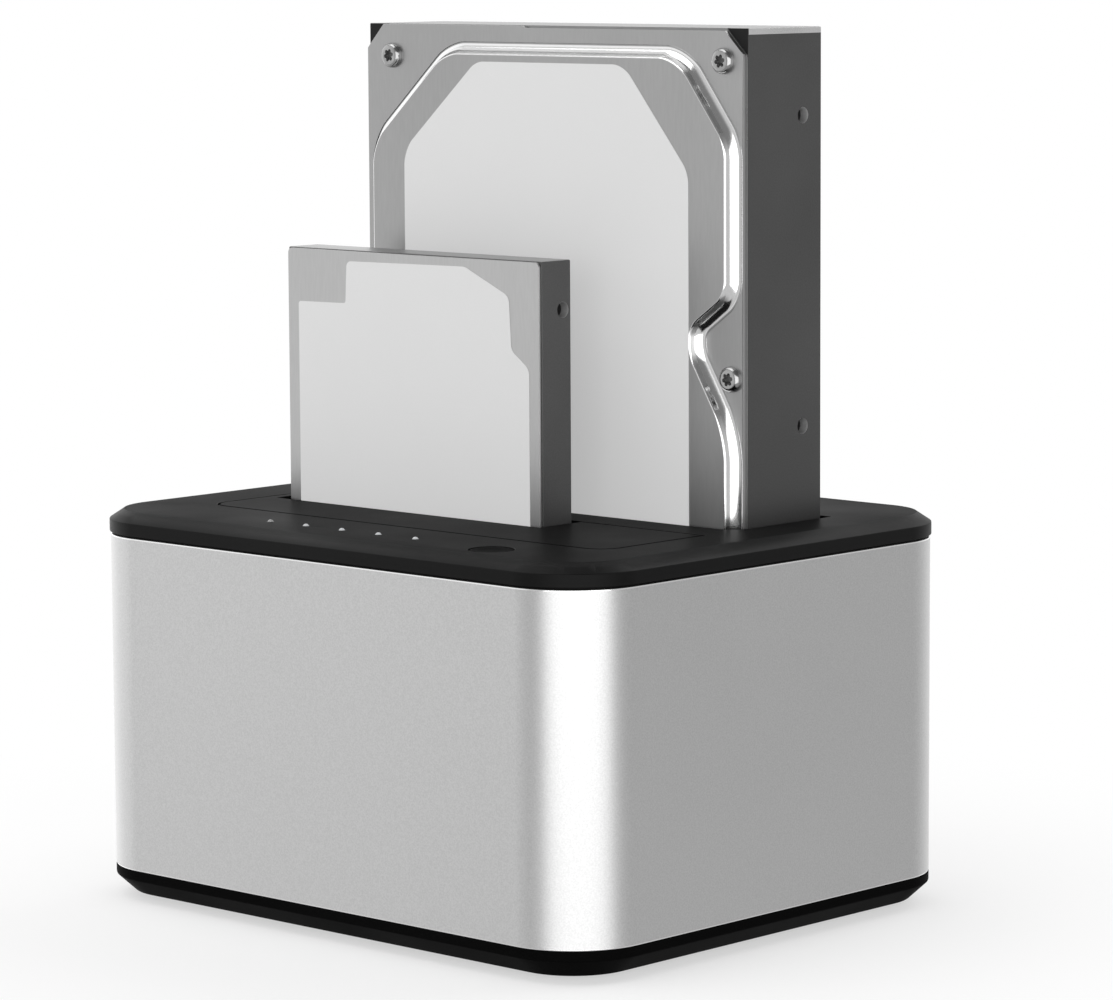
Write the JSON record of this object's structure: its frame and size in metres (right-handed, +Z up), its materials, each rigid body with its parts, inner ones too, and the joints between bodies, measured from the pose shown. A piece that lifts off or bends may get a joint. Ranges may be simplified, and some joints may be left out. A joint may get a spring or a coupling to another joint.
{
  "type": "dual hard drive docking station",
  "caption": "Boxy metal-sleeved docking station with two upright bare hard drives, a small one in front of a large one, spring flaps, a round button and status lights.",
  "frame": {"origin": "on the table, under the middle of the dock", "axes": "+X right along the front, +Y to the back, +Z up along the standing drives"},
  "size_m": [0.136, 0.1124, 0.1732],
  "materials": {
    "sleeve_metal": "bead-blasted and clear anodised",
    "cover_plastic": "fine-textured black moulding",
    "base_plastic": "fine-textured black moulding",
    "well_plastic": "plain black moulding",
    "foot_rubber": "matt rubber",
    "screw_steel": "zinc-plated",
    "board_green": "solder mask over glass-fibre board",
    "chip_black": "moulded epoxy",
    "coil_grey": "ferrite",
    "capacitor_sleeve": "shrink sleeve",
    "can_metal": "nickel-plated can",
    "socket_plastic": "moulded connector",
    "tongue_blue": "moulded connector tongue",
    "switch_plastic": "polished moulding",
    "light_clear": "clear moulded light stem",
    "light_source": "lamp body",
    "button_plastic": "smooth black moulding",
    "ribbon": "flat film cable",
    "socket_ivory": "ribbon socket",
    "casting_grey": "die-cast, dark coated",
    "large_sheet": "stamped sheet, fine grain",
    "small_sheet": "stamped sheet, fine grain",
    "label_grey": "blank film label",
    "drive_board": "dark solder mask",
    "small_casting_grey": "die-cast"
  },
  "bodies": {
    "dock": {"sleeve": "sleeve_metal", "top_cover": "cover_plastic", "base": "base_plastic", "rubber_feet": "foot_rubber", "case_screws": "screw_steel", "front_well": "well_plastic", "rear_well": "well_plastic", "well_screws": "screw_steel", "main_board": "board_green", "board_screws": "screw_steel", "front_receptacle": "socket_plastic", "rear_receptacle": "socket_plastic", "bridge_chip": "chip_black", "regulator_chips": "chip_black", "power_coils": "coil_grey", "capacitors": "capacitor_sleeve", "crystal": "can_metal", "usb_socket": "can_metal", "usb_tongue": "tongue_blue", "power_jack": "socket_plastic", "jack_pin": "can_metal", "switch_housing": "switch_plastic", "panel_board": "board_green", "panel_screws": "screw_steel", "status_lights": "light_source", "light_pipes": "light_clear", "tact_switch": "socket_plastic", "flat_cable": "ribbon", "cable_sockets": "socket_ivory", "front_hinge_pins": "screw_steel", "front_flap_springs": "screw_steel", "rear_hinge_pins": "screw_steel", "rear_flap_springs": "screw_steel"},
    "front_flap": {"front_flap": "cover_plastic"},
    "rear_flap": {"rear_flap": "cover_plastic"},
    "button": {"round_button": "button_plastic", "tact_plunger": "socket_plastic"},
    "power_rocker": {"power_rocker": "switch_plastic"},
    "large_drive": {"large_casting": "casting_grey", "large_cover": "large_sheet", "large_cover_screws": "screw_steel", "large_label": "label_grey", "large_board": "drive_board", "large_board_screws": "screw_steel", "large_plug": "socket_plastic"},
    "small_drive": {"small_casting": "small_casting_grey", "small_cover": "small_sheet", "small_label": "label_grey", "small_board": "drive_board", "small_board_screws": "screw_steel", "small_plug": "socket_plastic"}
  },
  "joints": [
    {"name": "large_drive_lift", "type": "slide", "parent": "dock", "child": "large_drive", "axis": [0, 0, 1], "range_m": [0, 0.06]},
    {"name": "small_drive_lift", "type": "slide", "parent": "dock", "child": "small_drive", "axis": [0, 0, 1], "range_m": [0, 0.055]},
    {"name": "front_flap_hinge", "type": "hinge", "parent": "dock", "child": "front_flap", "pos_m": [0, -0.0378, 0.0745], "axis": [-1, 0, 0], "range_deg": [0, 88], "stiffness_Nm_per_rad": 0.004, "springref_deg": -57.3},
    {"name": "rear_flap_hinge", "type": "hinge", "parent": "dock", "child": "rear_flap", "pos_m": [0, -0.0006, 0.0745], "axis": [-1, 0, 0], "range_deg": [0, 1.5], "stiffness_Nm_per_rad": 0.004, "springref_deg": -143.24},
    {"name": "button_press", "type": "slide", "parent": "dock", "child": "button", "axis": [0, 0, -1], "range_m": [0, 0.0008], "stiffness_N_per_m": 400, "springref_m": -0.001},
    {"name": "rocker_hinge", "type": "hinge", "parent": "dock", "child": "power_rocker", "pos_m": [-0.03, 0.0503, 0.0308], "axis": [0, 0, -1], "range_deg": [0, 18]}
  ]
}
